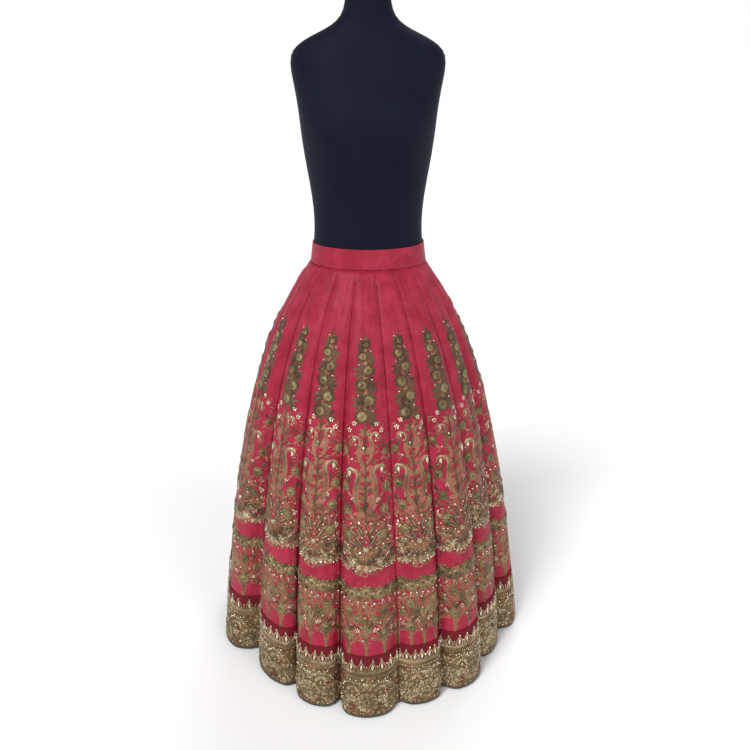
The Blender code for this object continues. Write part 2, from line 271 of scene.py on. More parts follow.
hue_patches = add("MapRange", From_Min=0.42, From_Max=0.58, Value=patches)
gilt = add("Mix", hue_patches, "#C07E68", "#A87E5C", data_type="RGBA")
# Painted shade: the net's stitches are darkened to brown between their rounds.
net_tint_with_painted_shade = add("Mix", net_stitches, "#603428", gilt, data_type="RGBA")
netted = add("Mix", net, dye_with_painted_sheen, net_tint_with_painted_shade, data_type="RGBA")
net_metal = add("Math", net, 0.35, operation="MULTIPLY")
net_height = add("Math", net, net_stitches, operation="MULTIPLY")
crush_relief = add("Bump", Strength=0.6, Distance=0.006, Height=crush)
slub_relief = add("Bump", Strength=0.2, Distance=0.0005, Height=weave, Normal=crush_relief)
net_relief = add("Bump", Strength=0.8, Distance=0.0008, Height=net_height, Normal=slub_relief)
feed(shader, Base_Color=netted, Metallic=net_metal, Normal=net_relief)


def add_map(piece, name, places):
    """Gives a piece a UV map in metres, one place to a vertex."""
    layer = piece.data.uv_layers.new(name=name)
    corners = np.empty(len(piece.data.loops), np.int32)
    piece.data.loops.foreach_get("vertex_index", corners)
    places = np.asarray(places, np.float32).reshape(-1, 2)
    layer.data.foreach_set("uv", places[corners].ravel())


waistband = modelled_from("waistband", "waistband_silk")
while waistband.data.uv_layers:
    waistband.data.uv_layers.remove(waistband.data.uv_layers[0])
modify(waistband, "BEVEL", width=BAND_SOFT_EDGE, segments=2, limit_method="ANGLE")
modify(waistband, "SUBSURF", levels=1)
band_low, band_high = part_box("waistband")
band_radius = (band_high.x - band_low.x) / 2
points = np.array([vertex.co for vertex in waistband.data.vertices])
around = np.arctan2(points[:, 0], -points[:, 1]) * band_radius
add_map(waistband, "cut", np.stack([around, points[:, 2]], 1))
finished(waistband, "raw_silk", silk, node="waistband")


# ------------------------ the kalis
# Sixteen flared panels of raw silk, cut from waist to hem and seamed to each other. Each falls
# in one deep fold, with soft flutes where its top edge is eased into the waistband.
KALIS = [f"{number:02d}" for number in range(1, 17)]
ACROSS = 28  # steps across a kali, from seam to seam
DOWN = 96  # steps from the waistband to the hem
CLOTH = 0.0016
NET_HALF = 0.09  # half the width that every kali has on the map that its net follows
SEAM_WIDTH = 0.0035
SEAM_DEPTH = 0.0012

# Soft flutes under the waistband and slack in the cloth lower down: place across (-1 and 1 are
# the seams), distances below the waistband where it starts and ends, width, depth and lean
Crease = namedtuple("Crease", "across start end width depth lean")
CREASES = [
    Crease(-0.55, -0.02, 0.16, 0.0050, 0.0016, 0.10),
    Crease(-0.10, -0.03, 0.24, 0.0065, 0.0021, -0.05),
    Crease(0.42, -0.02, 0.19, 0.0050, 0.0018, -0.12),
    Crease(0.74, 0.04, 0.30, 0.0060, 0.0014, 0.08),
    Crease(-0.34, 0.12, 0.46, 0.0090, 0.0022, 0.16),
    Crease(0.22, 0.22, 0.62, 0.0110, 0.0020, -0.10),
    Crease(-0.66, 0.36, 0.80, 0.0120, 0.0022, 0.05),
    Crease(0.60, 0.45, 0.93, 0.0130, 0.0020, -0.06),
]

# Short pulls that stand out where the cloth drags from seam to seam: place across and distance
# below the waistband, half length, angle from level, half width and height
Pull = namedtuple("Pull", "across below reach angle width height")
PULLS = [
    Pull(-0.30, 0.034, 0.026, 12, 0.0080, 0.0024),
    Pull(0.35, 0.062, 0.024, -18, 0.0090, 0.0028),
    Pull(-0.15, 0.112, 0.030, 34, 0.0100, 0.0032),
    Pull(0.30, 0.168, 0.034, -42, 0.0110, 0.0034),
    Pull(-0.25, 0.235, 0.040, 55, 0.0120, 0.0034),
    Pull(0.20, 0.330, 0.046, -58, 0.0130, 0.0030),
]


def outer_face(node):
    """Rows of points across a packed panel's outer face, from the top down."""
    corners = {tuple(round(c, 5) for c in v.co) for v in nodes[node].data.vertices}
    middle = sum(x for x, _, _ in corners), sum(y for _, y, _ in corners)
    forward = math.atan2(middle[1], middle[0])

    def turn(corner):
        return math.remainder(math.atan2(corner[1], corner[0]) - forward, 2 * math.pi)

    rows = {}
    for corner in corners:
        rows.setdefault(round(corner[2], 4), []).append(corner)
    face = []
    for z in sorted(rows, reverse=True):
        ordered = sorted(rows[z], key=turn)
        pairs = zip(ordered[::2], ordered[1::2])
        face.append([max(pair, key=lambda c: math.hypot(c[0], c[1])) for pair in pairs])
    return np.array(face)


def smoothed(rows, at):
    """Rows at places along a smooth curve through some, which have one to spare at each end."""
    start = np.minimum(at.astype(int), len(rows) - 4)
    u = (at - start)[:, None, None]
    a, b, c, d = (rows[start + k] for k in range(4))
    return b + u * (c - a + u * (2 * a - 5 * b + 4 * c - d + u * (3 * b - a - 3 * c + d))) / 2


def gone_along(line):
    """How far along a line of points each of them lies."""
    return np.concatenate([[0], np.cumsum(np.linalg.norm(np.diff(line, axis=0), axis=1))])


def evened(line, steps):
    """The same line of points at even distances along it, and its length."""
    gone = gone_along(line)
    even = np.linspace(0, gone[-1], steps + 1)
    return np.stack([np.interp(even, gone, line[:, k]) for k in range(3)], 1), gone[-1]


def outward(grid):
    """The cloth's outward direction at each point of a grid of rows from the top down."""
    across, down = np.gradient(grid, axis=1), np.gradient(grid, axis=0)
    normal = np.cross(down, across)
    return normal / np.linalg.norm(normal, axis=2, keepdims=True)


Drape = namedtuple("Drape", "points normals half_width length")


def draped_kalis():
    """Each kali's hang: points on an even flat grid of its cut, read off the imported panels."""
    faces = [outer_face(f"kali_{kali}") for kali in KALIS]
    columns = faces[0].shape[1] - 1
    for kali in range(len(KALIS)):
        faces[kali][:, 0] = (faces[kali][:, 0] + faces[kali - 1][:, -1]) / 2
    ring = np.concatenate([face[:, :-1] for face in faces], axis=1)
    tall = np.concatenate([2 * ring[:1] - ring[1:2], ring, 2 * ring[-1:] - ring[-2:-1]])
    fine = smoothed(tall, np.linspace(0, len(ring) - 1, DOWN * 3 + 1)).swapaxes(0, 1)
    closed = np.concatenate([fine[-1:], fine, fine[:2]])
    places = np.arange(len(KALIS) * ACROSS * 2) * columns / (ACROSS * 2)
    fine = smoothed(closed, places).swapaxes(0, 1)
    drapes = []
    for kali in range(len(KALIS)):
        picks = np.arange(kali * ACROSS * 2, (kali + 1) * ACROSS * 2 + 1) % fine.shape[1]
        panel = fine[:, picks]
        gone = gone_along(panel[:, ACROSS])
        even = np.interp(np.linspace(0, gone[-1], DOWN + 1), gone, np.arange(len(panel)))
        low = np.minimum(even.astype(int), len(panel) - 2)
        share = (even - low)[:, None, None]
        panel = panel[low] * (1 - share) + panel[low + 1] * share
        rows, widths = zip(*(evened(row, ACROSS) for row in panel))
        grid, half_width = np.array(rows), np.array(widths) / 2
        normals = outward(grid)
        grid = grid + normals * eased(half_width, gone[-1], kali)[:, :, None]
        drapes.append(Drape(grid, outward(grid), half_width, gone[-1]))
    return drapes


def eased(half_width, length, kali):
    """How far creases and the seams move a kali's cloth in or out, in metres."""
    below = np.linspace(0, length, DOWN + 1)[:, None]
    across = np.linspace(-1, 1, ACROSS + 1)[None, :]
    moved = np.zeros((DOWN + 1, ACROSS + 1))
    for number, crease in enumerate(CREASES):
        flip = -1 if (kali * 5 + number) % 3 == 0 else 1
        shift = 0.11 * math.sin(kali * 2.4 + number * 1.7)
        run = np.clip((below - crease.start) / (crease.end - crease.start), 0, 1)
        line = flip * (crease.across + shift + crease.lean * run)
        away = (across - line) * half_width[:, None]
        strength = 0.7 + 0.3 * math.cos(kali * 1.9 + number)
        trough = np.sin(math.pi * run) * np.exp(-((away / crease.width) ** 2))
        moved -= crease.depth * strength * trough * (1 - across**4)
    for number, pull in enumerate(PULLS):
        flip = -1 if (kali * 3 + number) % 2 == 0 else 1
        aside = (across - flip * pull.across) * half_width[:, None]
        lower = below - pull.below - 0.012 * math.sin(kali * 1.3 + number * 2.1)
        turn = math.radians(flip * pull.angle)
        along = aside * math.cos(turn) + lower * math.sin(turn)
        off = lower * math.cos(turn) - aside * math.sin(turn)
        strength = max(0.0, 0.55 + 0.65 * math.sin(kali * 2.7 + number * 1.9))
        ridge = np.exp(-((along / pull.reach) ** 2) - (off / pull.width) ** 2)
        moved += pull.height * strength * ridge * (1 - across**4)
    from_seam = (1 - np.abs(across)) * half_width[:, None]
    moved -= SEAM_DEPTH * np.exp(-((from_seam / SEAM_WIDTH) ** 2)) * np.clip(below / 0.05, 0, 1)
    return moved


def quads_of(grid):
    """Faces of a grid of points, facing out where rows run down and columns to the right."""
    at = np.arange(grid[..., 0].size).reshape(grid.shape[:2])
    return np.stack([at[:-1, :-1], at[1:, :-1], at[1:, 1:], at[:-1, 1:]], -1).reshape(-1, 4)


def piece_of(name, points, faces, **maps):
    """A piece made of points and the numbers of its faces' corners, with its UV maps."""
    mesh = bpy.data.meshes.new(name)
    mesh.from_pydata(points.reshape(-1, 3).tolist(), [], faces.tolist())
    piece = in_scene(name, mesh)
    for title, places in maps.items():
        add_map(piece, title, places)
    return piece


def on_kali(drape, row, column, out):
    """Points on a kali, a distance out from its face, by row and column of its grid."""
    i = np.clip(row.astype(int), 0, DOWN - 1)
    j = np.clip(column.astype(int), 0, ACROSS - 1)
    u, v = (row - i)[..., None], (column - j)[..., None]

    def between(grid):
        upper = grid[i, j] * (1 - v) + grid[i, j + 1] * v
        lower = grid[i + 1, j] * (1 - v) + grid[i + 1, j + 1] * v
        return upper * (1 - u) + lower * u

    return between(drape.points) + between(drape.normals) * np.asarray(out)[..., None]


def strip_of_kali(drape, rows, out):
    """A grid of points right across a kali at some rows, and their places on its flat cut."""
    row, column = np.meshgrid(rows, np.arange(ACROSS + 1.0), indexing="ij")
    half = np.interp(row, np.arange(DOWN + 1), drape.half_width)
    places = np.stack([(column / ACROSS * 2 - 1) * half, (1 - row / DOWN) * drape.length], -1)
    return on_kali(drape, row, column, out), places


drapes = draped_kalis()
for kali, drape in zip(KALIS, drapes):
    face, places = strip_of_kali(drape, np.arange(DOWN + 1.0), 0.0)
    half = np.abs(places[..., :1]).max(axis=1, keepdims=True)
    even = places * np.concatenate([NET_HALF / half, np.ones_like(half)], -1)
    panel = piece_of(f"kali_silk_{kali}", face, quads_of(face), cut=places, work=even)
    modify(panel, "SOLIDIFY", thickness=CLOTH, offset=-1)
    finished(panel, "raw_silk", silk, node=f"kali_{kali}")


# ------------------------ the border
# Each kali's foot carries its own length of border: a band of crimson velvet, couched all over
# its lower part with gold thread, laid on the silk and felled down along its upper edge.
BORDER_OUT = 0.0021  # its face above the silk
BORDER_CLOTH = 0.0016
BORDER_DOWN = 16  # steps from the border's top to the hem
GOLD_TOP = 0.128  # where the couched gold ends and bare velvet shows
GOLD_RAGGED = 0.014  # how far noise moves that edge in all
GOLD_FADE = 0.002  # half the height over which it fades

border_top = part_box("border_01")[1].z

# Silk velvet, crushed a little by the work on it, with a deep pile that darkens face on; below
# it, couched zari: metal-wrapped thread laid side by side in 2.8 mm rows, worn to a dull gold.
velvet, shader, add = new_finish(
    "velvet_and_couched_zari", IOR=1.5, Specular_IOR_Level=0.2,
    Sheen_Weight=0.12, Sheen_Roughness=0.3, Sheen_Tint="#D04058",
)
cut = add("UVMap", uv_map="cut")
cut_axes = add("SeparateXYZ", Vector=cut)
wander = add("TexNoise", Scale=grains(14), Vector=cut)
edge = add("Math", wander, GOLD_RAGGED, cut_axes.outputs["Y"], operation="MULTIPLY_ADD")
gold_top = GOLD_TOP + GOLD_RAGGED / 2
is_gold = add("MapRange", edge, From_Min=gold_top + GOLD_FADE, From_Max=gold_top - GOLD_FADE)
worn_bare = add("MapRange", From_Min=0.60, From_Max=0.64, To_Min=1.0, To_Max=0.0, Value=wander)
gold_left = add("Math", is_gold, worn_bare, operation="MULTIPLY")
couching = add(
    "TexWave", bands_direction="DIAGONAL", Scale=bands(2.0), Distortion=5.0, Vector=cut
).outputs["Fac"]
glints = add("TexVoronoi", Scale=grains(2.4), Vector=cut)
# Painted shade: the couched rows are darkened to brown in the grooves between them.
gold_with_painted_shade = add("ValToRGB", Fac=couching)
gold_with_painted_shade.color_ramp.elements[0].color = linear("#42321F")
gold_with_painted_shade.color_ramp.elements[1].color = linear("#8C724E")
pile_tint = add("Mix", wander, "#500B16", "#781624", data_type="RGBA")
face_tint = add("Mix", gold_left, pile_tint, gold_with_painted_shade, data_type="RGBA")
metal = add("Math", gold_left, 0.55, operation="MULTIPLY")
dullness = add("MapRange", To_Min=0.75, To_Max=0.42, Value=gold_left)
couch_relief = add("Bump", Strength=0.7, Distance=0.0008, Height=couching)
bead_relief = add("Bump", Strength=0.4, Distance=0.0006, Height=glints, Normal=couch_relief)
feed(shader, Base_Color=face_tint, Metallic=metal, Roughness=dullness, Normal=bead_relief)

for kali, drape in zip(KALIS, drapes):
    heights = drape.points[:, ACROSS // 2, 2]
    top_row = np.interp(-border_top, -heights, np.arange(DOWN + 1))
    face, places = strip_of_kali(drape, np.linspace(top_row, DOWN, BORDER_DOWN + 1), BORDER_OUT)
    border = piece_of(f"border_velvet_{kali}", face, quads_of(face), cut=places)
    modify(border, "SOLIDIFY", thickness=BORDER_CLOTH, offset=-1)
    finished(border, "gold_border", velvet, node=f"border_{kali}")


# ------------------------ the piping
# A bias strip of bottle-green silk folded over a soft cord and sewn along the very edge, so the
# heavy hem keeps its round folds and the gold doesn't fray on the floor.
PIPING_SIDES = 10
PIPING_OUT = 0.00005  # its middle outside the silk's face

# Bias-cut silk: a satin-dull green, its diagonal threads drawn 2.3 mm apart so that they show.
green_silk, shader, add = new_finish("bottle_green_silk", Roughness=0.55, IOR=1.5, Specular_IOR_Level=0.25)
cut = add("UVMap", uv_map="cut")
bias = add(
    "TexWave", bands_direction="DIAGONAL", Scale=bands(1.6), Distortion=1.0, Vector=cut
).outputs["Fac"]
green = add("Mix", bias, "#1C2A28", "#33504C", data_type="RGBA")
bias_relief = add("Bump", Strength=0.4, Distance=0.0003, Height=bias)
feed(shader, Base_Color=green, Normal=bias_relief)

piping_low, piping_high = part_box("piping_01")[0].z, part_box("piping_01")[1].z
piping_radius = (piping_high - piping_low) / 2
for kali, drape in zip(KALIS, drapes):
    hem, out = drape.points[-1], drape.normals[-1].copy()
    out[:, 2] = 0
    out /= np.linalg.norm(out, axis=1, keepdims=True)
    loops, places = [], []
    gone = np.linspace(-1, 1, ACROSS + 1) * drape.half_width[-1]
    for side in range(PIPING_SIDES + 1):
        turn = 2 * math.pi * side / PIPING_SIDES
        ring = hem + out * (PIPING_OUT + piping_radius * math.sin(turn))
        ring[:, 2] = piping_low + piping_radius * (1 + math.cos(turn))
        loops.append(ring)
        places.append(np.stack([gone, np.full(ACROSS + 1, turn * piping_radius)], 1))
    face = np.array(loops)
    piping = piece_of(f"hem_piping_{kali}", face, quads_of(face), cut=places)
    select_only(piping)
    bpy.ops.object.mode_set(mode="EDIT")
    bpy.ops.mesh.select_all(action="SELECT")
    bpy.ops.mesh.remove_doubles(threshold=JOINED)
    bpy.ops.mesh.select_mode(type="VERT")
    bpy.ops.mesh.select_non_manifold(extend=False)
    bpy.ops.mesh.edge_face_add()
    bpy.ops.object.mode_set(mode="OBJECT")
    finished(piping, "piping", green_silk, node=f"piping_{kali}")


# ------------------------ the zardozi
# Metal-thread embroidery, worked on each kali in a frame before the skirt is sewn up: padded
# leaves and flowers, couched cords, cut beads and sequins, all drawn here flat, in millimetres,
# on one kali's cut and then laid on the hang of all sixteen.
SUNK = -0.35  # how far the threads' edges lie under the cloth's face
GOLD, OLIVE, PALE, BRONZE, ROSE, GLINT = range(6)

Form = namedtuple("Form", "points faces threads finishes")


def together(*forms):
    """Several drawn forms as one."""
    starts = np.cumsum([0, *(len(form.points) for form in forms)])
    joined = [form._replace(faces=form.faces + start) for form, start in zip(forms, starts)]
    return Form(*(np.concatenate(parts) for parts in zip(*joined)))


def placed(form, at=(0.0, 0.0), turn=0.0, size=1.0, mirror=False):
    """A drawn form moved to a place, turned anticlockwise in degrees, sized or mirrored."""
    points, faces = form.points * size, form.faces
    if mirror:
        points, faces = points * (-1, 1, 1), faces[:, ::-1]
    c, s = math.cos(math.radians(turn)), math.sin(math.radians(turn))
    x, y = points[:, 0] * c - points[:, 1] * s, points[:, 0] * s + points[:, 1] * c
    return form._replace(points=np.stack([x + at[0], y + at[1], points[:, 2]], 1), faces=faces)


def strip(path, widths, heights, finish):
    """Padded or couched thread along a path: two edges in the cloth and a ridge between them."""
    path = np.asarray(path, float)
    count = len(path)
    widths, heights = np.broadcast_to(widths, count), np.broadcast_to(heights, count)
    along = np.gradient(path, axis=0)
    along /= np.linalg.norm(along, axis=1, keepdims=True)
    side = np.stack([-along[:, 1], along[:, 0]], 1) * widths[:, None] / 2
    points, threads = np.zeros((count, 3, 3)), np.zeros((count, 3, 2))
    for k, (shift, height) in enumerate(((-1, SUNK), (0, heights), (1, SUNK))):
        points[:, k, :2] = path + side * shift
        points[:, k, 2] = height
        threads[:, k, 0] = gone_along(path)
        threads[:, k, 1] = shift * widths / 2
    quads = quads_of(points)
    faces = np.concatenate([quads[:, :3], quads[:, [0, 2, 3]]])
    return Form(points.reshape(-1, 3), faces, threads.reshape(-1, 2), np.full(len(faces), finish))


def arc(length, bend, count):
    """A path up from the origin that bends to the right by an angle in degrees."""
    t = np.linspace(0, 1, count)
    if abs(bend) < 1:
        return np.stack([t * 0, t * length], 1)
    turn = math.radians(bend)
    return np.stack([1 - np.cos(turn * t), np.sin(turn * t)], 1) * length / turn


def leaf(length, width, height, finish, bend=0.0, steps=5, blunt=1.0):
    """A satin-stitched leaf over padding; blunt above 1 rounds its tip into a petal's."""
    swell = np.sin(math.pi * (0.05 + 0.90 * np.linspace(0, 1, steps) ** blunt))
    return strip(arc(length, bend, steps), width * swell, height * swell**0.6, finish)


def knot(radius, height, finish, sides):
    """A round padded boss, or a bead when it is small."""
    turns = np.arange(sides) * 2 * math.pi / sides
    ring = np.stack([np.cos(turns), np.sin(turns)], 1)
    rows = ((1.0, SUNK), (0.78, height * 0.72))
    points = [np.column_stack([ring * radius * r, np.full(sides, z)]) for r, z in rows]
    points.append(np.array([[0, 0, height]]))
    threads = [ring * radius * r for r, _ in rows] + [np.zeros((1, 2))]
    j = np.arange(sides)
    k = (j + 1) % sides
    top = np.full(sides, 2 * sides)
    rounds = ((j, k, k + sides), (j, k + sides, j + sides), (j + sides, k + sides, top))
    faces = np.concatenate([np.stack(corners, 1) for corners in rounds])
    return Form(np.concatenate(points), faces, np.concatenate(threads), np.full(3 * sides, finish))


def sequin(radius, tilt, turn):
    """A cupped metal spangle, sewn down at its middle so that it tips a little."""
    turns = np.arange(6) * math.pi / 3
    ring = np.stack([np.cos(turns), np.sin(turns)], 1) * radius
    lift = 0.55 + tilt * (ring @ [math.cos(turn), math.sin(turn)]) / radius
    points = np.column_stack([ring, lift])
    points = np.concatenate([points, [[0, 0, 0.35]]])
    j = np.arange(6)
    faces = np.stack([j, (j + 1) % 6, np.full(6, 6)], 1)
    return Form(points, faces, points[:, :2], np.full(6, GLINT))


def toward(lean, reach):
    """The place a distance from the origin that leans to the right of straight up, in degrees."""
    return reach * math.sin(math.radians(lean)), reach * math.cos(math.radians(lean))


def ringed(form, count, radius, start=0.0):
    """Copies of a form set around a circle, each pointing out."""
    turns = [start + 360 * i / count for i in range(count)]
    return together(*[placed(form, toward(-turn, radius), turn) for turn in turns])


def blossom(radius, petals, outer, inner):
    """A small round flower: petals about a boss, with beads between them."""
    wide = radius * 5.6 / petals
    petal = leaf(radius * 0.72, wide, 1.5, outer, steps=4, blunt=1.5)
    return together(
        ringed(petal, petals, radius * 0.30),
        knot(radius * 0.42, 2.1, inner, 7),
        ringed(knot(radius * 0.10, 1.9, PALE, 4), 5, radius * 0.30, 18),
    )


def ball(radius, rim, heart):
    """A padded disc in a scalloped rim, its heart ringed with cord."""
    return together(
        ringed(knot(radius * 0.30, 1.8, rim, 7), 9, radius * 0.78),
        knot(radius * 0.72, 2.7, OLIVE, 10),
        hoop(radius * 0.40, radius * 0.15, 3.2, PALE),
        knot(radius * 0.27, 3.3, heart, 6),
    )


def rosette(radius):
    """A large border flower in three rounds of padded petals about a beaded boss."""
    outer = leaf(radius * 0.50, radius * 0.50, 2.0, PALE, blunt=1.6)
    middle = leaf(radius * 0.42, radius * 0.40, 2.6, OLIVE, blunt=1.6)
    inner = leaf(radius * 0.26, radius * 0.24, 3.1, PALE, steps=4, blunt=1.6)
    return together(
        ringed(outer, 11, radius * 0.52),
        ringed(leaf(radius * 0.30, radius * 0.09, 2.5, BRONZE, steps=4), 11, radius * 0.62),
        ringed(knot(radius * 0.055, 1.9, GLINT, 4), 11, radius * 0.98, 16),
        ringed(middle, 8, radius * 0.27, 10),
        ringed(inner, 7, radius * 0.12, 5),
        knot(radius * 0.15, 3.4, BRONZE, 7),
        ringed(knot(radius * 0.05, 3.5, GLINT, 4), 4, radius * 0.14, 40),
    )


def fountain(lengths, bends, width, finish, swell):
    """Couched stems that rise from one foot and bend apart; swell widens their tips."""
    stems = []
    for length, bend in zip(lengths, bends):
        taper = width * np.linspace(0.7, swell, 9)
        taper[-1] = width * 0.15
        stems.append(strip(arc(length, bend, 9), taper, 1.1, finish))
    return together(*stems)


def hoop(radius, width, height, finish, sweep=360.0):
    """A ring of couched cord, or a part of one."""
    turns = np.radians(np.linspace(0, sweep, max(6, int(sweep / 36) + 1)))
    path = radius * np.stack([np.cos(turns), np.sin(turns)], 1)
    return strip(path, width, height, finish)


def fan(radius, petals, spread, finishes):
    """Tiers of petals that open upward from one foot, with a rim of round pale ones."""
    forms, step = [], math.radians(spread) / (petals - 1)
    for tier, finish in enumerate(finishes):
        foot = radius * (0.72 - 0.66 * tier / len(finishes))
        reach = radius * (0.28 if tier == 0 else 0.36)
        wide = 1.15 * (foot + reach * 0.6) * step * (petals - 1) / (petals - 1 - tier * 0.7)
        petal = leaf(reach, wide, 1.6 + 0.45 * tier, finish, blunt=1.5)
        count = petals - round(tier * 0.7)
        for lean in np.linspace(-spread / 2, spread / 2, count):
            forms.append(placed(petal, toward(lean, foot), -lean))
    for lean in np.linspace(-spread / 2, spread / 2, petals * 2 - 1):
        x, y = toward(lean, radius)
        forms.append(placed(knot(1.9, 2.0, GLINT, 4), (x * 1.05, y)))
    forms.append(knot(radius * 0.13, 4.0, PALE, 8))
    return together(*forms)


def spangle_flower(size):
    """Five silver spangles about a bead, the brightest points of the work."""
    petal = leaf(size * 1.1, size, 1.1, GLINT, steps=4)
    return together(ringed(petal, 5, size * 0.30), knot(size * 0.42, 1.7, PALE, 5))


def finial(height):
    """A kangura: a silver-gold teardrop outlined in cord, with a bud in it and a bead on top."""
    side = np.array([(0, 0), (4.0, 1.6), (6.6, 5.8), (6.2, 10.8), (3.7, 15.6), (1.2, 19.6), (0, 23)])
    path = np.concatenate([side, side[-2::-1] * (-1, 1)]) * height / 26
    return together(
        strip(path, 3.4, 2.2, PALE),
        placed(leaf(height * 0.52, 7.0, 2.4, GLINT), (0, height * 0.13)),
        placed(knot(2.1, 2.4, GLINT, 5), (0, height * 0.93)),
        placed(leaf(height * 0.26, 2.8, 1.7, PALE, steps=4), (0, height * 0.97)),
    )


def chained(*pieces):
    """A path of arcs from the origin, each a length and its bend to the right in degrees."""
    points, heading = [np.zeros((1, 2))], 0.0
    for length, bend in pieces:
        c, s = math.cos(heading), math.sin(heading)
        x, y = arc(length, bend, 6)[1:].T
        points.append(points[-1][-1] + np.stack([x * c + y * s, y * c - x * s], 1))
        heading += math.radians(bend)
    return np.concatenate(points)


def spray(count, length, width, spread, finishes):
    """Overlapping leaves that open upward from one foot."""
    forms = []
    for i in range(count):
        lean = spread * (i / (count - 1) - 0.5)
        reach = length * (1 - 0.3 * abs(lean) / spread * 2)
        blade = leaf(reach, width, 1.4 + 0.3 * (i % 2), finishes[i % len(finishes)], lean * 0.6)
        forms.append(placed(blade, turn=-lean))
    return together(*forms)


# The work as it is laid on a kali: each form with its place across, as a share of the half
# width from the middle to a seam, and its height above the hem
worked = []


def work(form, across, up, turn=0.0, size=1.0, mirror=False):
    worked.append((placed(form, (0, up), turn, size, mirror), across))


def work_pair(form, across, up, turn=0.0):
    work(form, across, up, turn)
    work(form, -across, up, -turn, mirror=True)


def width_at(up):
    """A kali's usual half width at a height above the hem, to space a filling evenly."""
    return np.interp(up, (0, 330, 770, 1000), (97, 83, 50, 27))


SEAM_FREE = 4.0  # how near to a seam a filling comes
STRAY = 0.28  # how far a filling's forms are off their grid, as a share of its pitch


def both_sides(*circles):
    """Circles to be kept clear of fillings, each on both sides of the middle."""
    return [(side * across, up, radius) for across, up, radius in circles for side in (-1, 1)]


def fill(low, high, pitch, forms, keep_off, draws, odds=1.0):
    """Scatters small forms on a jittered grid between two heights, off the circles kept clear."""
    for row, up in enumerate(np.arange(low, high, pitch * 0.87)):
        half = width_at(up)
        reach = half - SEAM_FREE
        for x in np.arange(-reach + pitch / 2 * (row % 2), reach, pitch):
            at = np.array([x, up]) + draws.uniform(-STRAY, STRAY, 2) * pitch
            turn, pick, chance = draws.uniform(0, 360), draws.integers(len(forms)), draws.random()
            clear = all(
                math.hypot(at[0] - across * half, at[1] - height) > radius
                for across, height, radius in keep_off
            )
            if clear and chance < odds and abs(at[0]) < reach:
                work(forms[pick], at[0] / half, at[1], turn)


draws = np.random.default_rng(12)

# The border: large flowers along the hem, fans above them and leaves between, set so close
# that little of the couching shows
flower, half_flower = rosette(26), fan(26, 7, 150, (OLIVE, GOLD, PALE))
for across, up in ((-0.70, 35), (0.0, 37), (0.70, 34)):
    work(flower, across, up, across * 40)
for across in (-0.36, 0.36):
    work(half_flower, across, 66)
    work(blossom(9, 7, PALE, OLIVE), across, 45)
    work(leaf(15, 8, 1.9, BRONZE), across, 9)
work_pair(blossom(12, 8, OLIVE, PALE), 0.84, 84)
work(blossom(12, 8, OLIVE, PALE), 0.0, 86)
work_pair(leaf(24, 9, 2.0, GOLD, 50), 0.62, 66, 24)
work_pair(leaf(20, 8, 2.0, BRONZE, -50), 0.16, 66, 8)
for across in np.linspace(-0.93, 0.93, 12):
    work(hoop(6.6, 2.2, 1.5, GOLD, 180), across, 3.0)
    work(knot(2.0, 1.9, PALE, 5), across, 4.6)
flowers = [(-0.70, 35, 26), (0.0, 37, 26), (0.70, 34, 26), (0.0, 86, 12)]
flowers += both_sides((0.36, 78, 24), (0.84, 84, 12), (0.36, 45, 9))
filling = [
    leaf(13, 6.2, 1.5, GOLD, steps=4),
    leaf(12, 6.0, 1.4, BRONZE, steps=4),
    leaf(12, 5.8, 1.5, OLIVE, 50, steps=4),
    leaf(12, 6.0, 1.5, BRONZE, -50, steps=4),
    leaf(11, 5.0, 1.5, ROSE, 40, steps=4),
    knot(3.6, 2.2, OLIVE, 6),
]
fill(10, 110, 8.0, filling, flowers, draws)
spangles = [sequin(2.1, tilt, turn) for tilt in (0.35, 0.7) for turn in (0.3, 1.9, 3.6, 5.2)]
fill(8, 108, 13, spangles, [], draws, odds=0.8)

# Kangura along the top of the border, tall and short by turns, on two close rows of leaves
for across in np.linspace(-0.97, 0.97, 34):
    work(leaf(10, 4.4, 1.7, GOLD, steps=4), across, 107, -38)
    work(leaf(11, 4.8, 1.6, PALE, steps=4), across, 114, 38)
    work(knot(1.3, 1.9, GLINT, 4), across, 106.5)
for i, across in enumerate(np.linspace(-0.955, 0.955, 15)):
    if i % 2 == 0:
        work(finial(33 if 0 < i < 14 else 26), across, 119, draws.uniform(-5, 5))
    else:
        work(leaf(15, 7.0, 1.9, GOLD), across, 119)
        work(knot(2.0, 2.0, GLINT, 5), across, 135)

# Above it, on the silk, bare arches: a tree on one foot between them and a ball on the next
spring, reach = ARCH_SPRING * 1000, ARCH_RADIUS * 1000
for across in (-0.75, -0.25, 0.25, 0.75):
    for lean in (-74, -38, 0, 38, 74):
        work(placed(leaf(12, 5.6, 1.3, ROSE, 30), toward(lean, reach), 70 - lean), across, spring)
work(strip(arc(40, 0, 4), (8.5, 6.5, 6.5, 8.5), 1.8, GOLD), 0.0, 163)
work(fountain((70, 88, 98, 88, 70), (-66, -28, 0, 28, 66), 6.5, GOLD, 1.5), 0.0, 200)
work(fountain((46, 62, 62, 46), (-44, -14, 14, 44), 3.2, PALE, 1.3), 0.0, 202)
for across in (-0.5, 0.5):
    work(strip(arc(38, 0, 4), (8.5, 6.0, 6.0, 9.0), 1.8, GOLD), across, 163)
    work(spray(5, 30, 11, 130, (BRONZE, ROSE, GOLD)), across, 222)
    work(ball(14, OLIVE, BRONZE), across, 214)
    work(fountain((44, 54, 44), (-30, 0, 30), 3.8, GOLD, 1.3), across, 230)
    work(ball(11, OLIVE, BRONZE), across, 276)
for across in (-0.98, 0.98):
    work(strip(arc(34, 0, 4), 5.0, 1.6, GOLD), across, 163)
    work(spray(3, 34, 11, 80, (BRONZE, ROSE, BRONZE)), across, 200)
work_pair(ball(11, OLIVE, BRONZE), 0.26, 256)
work_pair(ball(10, OLIVE, BRONZE), 0.80, 250)
